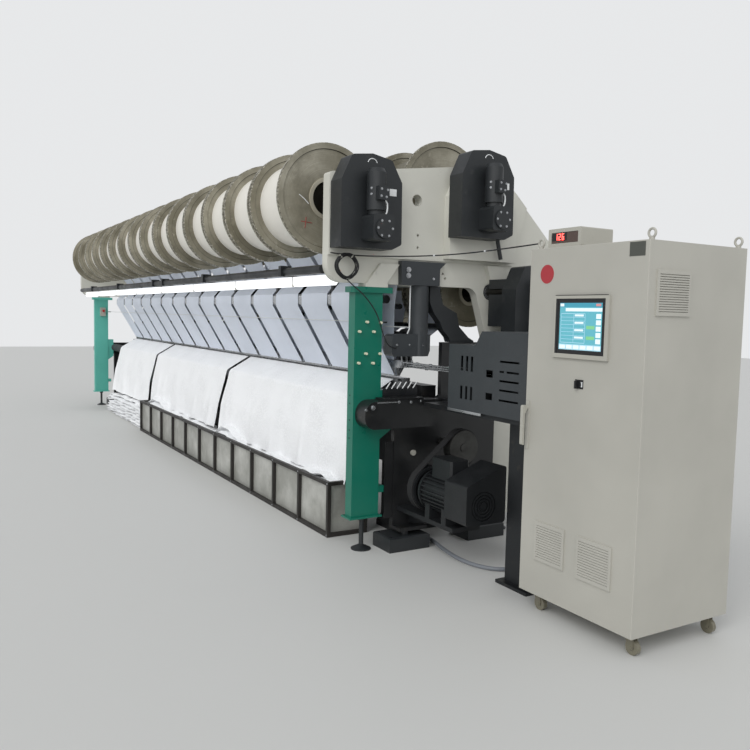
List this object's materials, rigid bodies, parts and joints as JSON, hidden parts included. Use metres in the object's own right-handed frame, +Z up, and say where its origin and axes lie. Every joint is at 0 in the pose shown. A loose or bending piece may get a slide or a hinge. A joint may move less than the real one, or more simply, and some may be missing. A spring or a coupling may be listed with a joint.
{
  "type": "tricot knitting machine",
  "caption": "Long warp knitting machine with overhead warp beams in rows, white yarn sheets and fabric, a collecting bin, end frames, main motor and a separate control cabinet",
  "frame": {"origin": "middle of the near front column's foot, on the floor", "axes": "+X along the machine towards the control cabinet, +Y to the rear, +Z up"},
  "size_m": [11.308, 2.2058, 2.9159],
  "materials": {
    "teal_paint": "satin paint, worn",
    "pale_teal_paint": "satin paint",
    "gantry_paint": "cast surface, satin grey paint with dust",
    "cabinet_paint": "fine textured powder coat",
    "black_paint": "satin black paint, dusty",
    "dark_steel": "oiled dark steel",
    "bright_steel": "ground steel",
    "beam_aluminium": "worn turned aluminium",
    "yarn": "matt white yarn",
    "fabric": "matt white knitted fabric",
    "black_plastic": "satin black plastic",
    "grey_plastic": "matt grey plastic",
    "white_plastic": "satin white plastic",
    "screen": "glossy display pane",
    "red_plastic": "glossy red plastic",
    "bin_sheet": "thin grey sheet",
    "rubber": "matt black rubber",
    "caster": "dark plastic wheel in a steel fork",
    "cord_black": "satin black cable sheath",
    "conduit": "grey ribbed conduit"
  },
  "bodies": {
    "root": {"near_front_column": "teal_paint", "far_front_column": "pale_teal_paint", "machine_feet": "black_paint", "near_gantry_frame": "gantry_paint", "far_gantry_frame": "gantry_paint", "gantry_tie_beams": "gantry_paint", "shaft_bearings": "bright_steel", "swing_brackets": "dark_steel", "yarn_guide_rails": "dark_steel", "letoff_guards": "black_paint", "letoff_gearmotors": "black_paint", "hanger_column": "black_paint", "support_strut": "black_paint", "yarn_sheets": "yarn", "pattern_drives": "dark_steel", "pattern_drive_cover": "black_paint", "trick_plate": "bright_steel", "machine_bed": "black_paint", "bed_end_walls": "black_paint", "drive_belt": "rubber", "main_motor": "black_paint", "takeup_housing": "black_paint", "lamp_support_tube": "dark_steel", "led_light_bar": "white_plastic", "stop_button_box": "grey_plastic", "fabric_panels": "fabric", "fabric_piles": "fabric", "bin_frame": "black_paint", "bin_panels": "bin_sheet", "cabinet_body": "cabinet_paint", "counter_box": "cabinet_paint", "taut_cable": "cord_black", "cable_coil": "cord_black", "drop_cable": "cord_black", "floor_conduit": "conduit"},
    "front_beams": {"front_warp_beams": "beam_aluminium", "front_yarn_packages": "yarn"},
    "rear_beams": {"rear_warp_beams": "beam_aluminium"},
    "lower_beams": {"lower_warp_beams": "beam_aluminium"},
    "main_shaft": {"main_shaft": "bright_steel"},
    "motor_pulley": {"motor_pulley": "dark_steel"},
    "roller_front": {"takeup_roller_front": "rubber"},
    "roller_rear": {"takeup_roller_rear": "rubber"},
    "swing": {"swing_levers": "dark_steel"},
    "guide_front": {"guide_bar_front": "bright_steel"},
    "guide_middle": {"guide_bar_middle": "bright_steel"},
    "guide_rear": {"guide_bar_rear": "bright_steel"},
    "needles": {"needle_bar": "bright_steel"},
    "tongues": {"tongue_bar": "bright_steel"},
    "sinkers": {"sinker_bar": "bright_steel"},
    "tension_rail": {"front_tension_rail": "bright_steel"},
    "door": {"cabinet_door": "cabinet_paint", "touch_screen": "screen"},
    "handle": {"door_handle": "black_plastic"},
    "switch": {"switch_knob": "black_plastic"},
    "stop_button": {"stop_button": "red_plastic"},
    "caster_a": {"caster_front_left": "caster"},
    "caster_b": {"caster_front_right": "caster"},
    "caster_c": {"caster_rear_left": "caster"},
    "caster_d": {"caster_rear_right": "caster"}
  },
  "joints": [
    {"name": "front_beams_turn", "type": "hinge", "parent": "root", "child": "front_beams", "pos_m": [-4, -0.19, 2.408], "axis": [1, 0, 0], "continuous": true},
    {"name": "rear_beams_turn", "type": "hinge", "parent": "root", "child": "rear_beams", "pos_m": [-4, 0.775, 2.54], "axis": [1, 0, 0], "continuous": true},
    {"name": "lower_beams_turn", "type": "hinge", "parent": "root", "child": "lower_beams", "pos_m": [-4, 1.04, 1.812], "axis": [1, 0, 0], "continuous": true},
    {"name": "main_shaft_turn", "type": "hinge", "parent": "root", "child": "main_shaft", "pos_m": [-4, 0.62, 0.72], "axis": [1, 0, 0], "continuous": true},
    {"name": "motor_pulley_turn", "type": "hinge", "parent": "root", "child": "motor_pulley", "pos_m": [0.29, 0.36, 0.46], "axis": [1, 0, 0], "continuous": true},
    {"name": "roller_front_turn", "type": "hinge", "parent": "root", "child": "roller_front", "pos_m": [-4, 0.215, 0.975], "axis": [1, 0, 0], "continuous": true},
    {"name": "roller_rear_turn", "type": "hinge", "parent": "root", "child": "roller_rear", "pos_m": [-4, 0.338, 0.935], "axis": [1, 0, 0], "continuous": true},
    {"name": "swing_turn", "type": "hinge", "parent": "root", "child": "swing", "pos_m": [-4, 0.43, 1.48], "axis": [1, 0, 0], "range_deg": [-2, 2]},
    {"name": "needle_lift", "type": "slide", "parent": "root", "child": "needles", "axis": [0, 0, 1], "range_m": [-0.016, 0]},
    {"name": "tongue_lift", "type": "slide", "parent": "root", "child": "tongues", "axis": [0, 0, 1], "range_m": [-0.016, 0]},
    {"name": "sinker_slide", "type": "slide", "parent": "root", "child": "sinkers", "axis": [0, 1, 0], "range_m": [0, 0.01]},
    {"name": "tension_rail_slide", "type": "slide", "parent": "root", "child": "tension_rail", "axis": [0, 1, 0], "range_m": [0, 0.008], "stiffness_N_per_m": 20000},
    {"name": "stop_button_press", "type": "slide", "parent": "root", "child": "stop_button", "axis": [-1, 0, 0], "range_m": [0, 0.005], "stiffness_N_per_m": 800},
    {"name": "door_hinge", "type": "hinge", "parent": "root", "child": "door", "pos_m": [2.123, 0.28, 1.05], "axis": [0, 0, 1], "range_deg": [0, 120]},
    {"name": "handle_turn", "type": "hinge", "parent": "door", "child": "handle", "pos_m": [1.346, 0.274, 1.134], "axis": [0, -1, 0], "range_deg": [0, 90]},
    {"name": "switch_turn", "type": "hinge", "parent": "door", "child": "switch", "pos_m": [1.7135, 0.28, 1.294], "axis": [0, 1, 0], "range_deg": [0, 90]},
    {"name": "guide_front_shog", "type": "slide", "parent": "swing", "child": "guide_front", "axis": [1, 0, 0], "range_m": [-0.015, 0.015]},
    {"name": "guide_middle_shog", "type": "slide", "parent": "swing", "child": "guide_middle", "axis": [1, 0, 0], "range_m": [-0.015, 0.015]},
    {"name": "guide_rear_shog", "type": "slide", "parent": "swing", "child": "guide_rear", "axis": [1, 0, 0], "range_m": [-0.015, 0.015]},
    {"name": "caster_a_swivel", "type": "hinge", "parent": "root", "child": "caster_a", "pos_m": [1.398, 0.355, 0.1], "axis": [0, 0, 1], "continuous": true},
    {"name": "caster_b_swivel", "type": "hinge", "parent": "root", "child": "caster_b", "pos_m": [2.048, 0.355, 0.1], "axis": [0, 0, 1], "continuous": true},
    {"name": "caster_c_swivel", "type": "hinge", "parent": "root", "child": "caster_c", "pos_m": [1.398, 0.925, 0.1], "axis": [0, 0, 1], "continuous": true},
    {"name": "caster_d_swivel", "type": "hinge", "parent": "root", "child": "caster_d", "pos_m": [2.048, 0.925, 0.1], "axis": [0, 0, 1], "continuous": true}
  ],
  "couplings": [
    {"joint": "motor_pulley_turn", "follows": "main_shaft_turn", "ratio": 0.8},
    {"joint": "roller_rear_turn", "follows": "roller_front_turn", "ratio": -1}
  ]
}
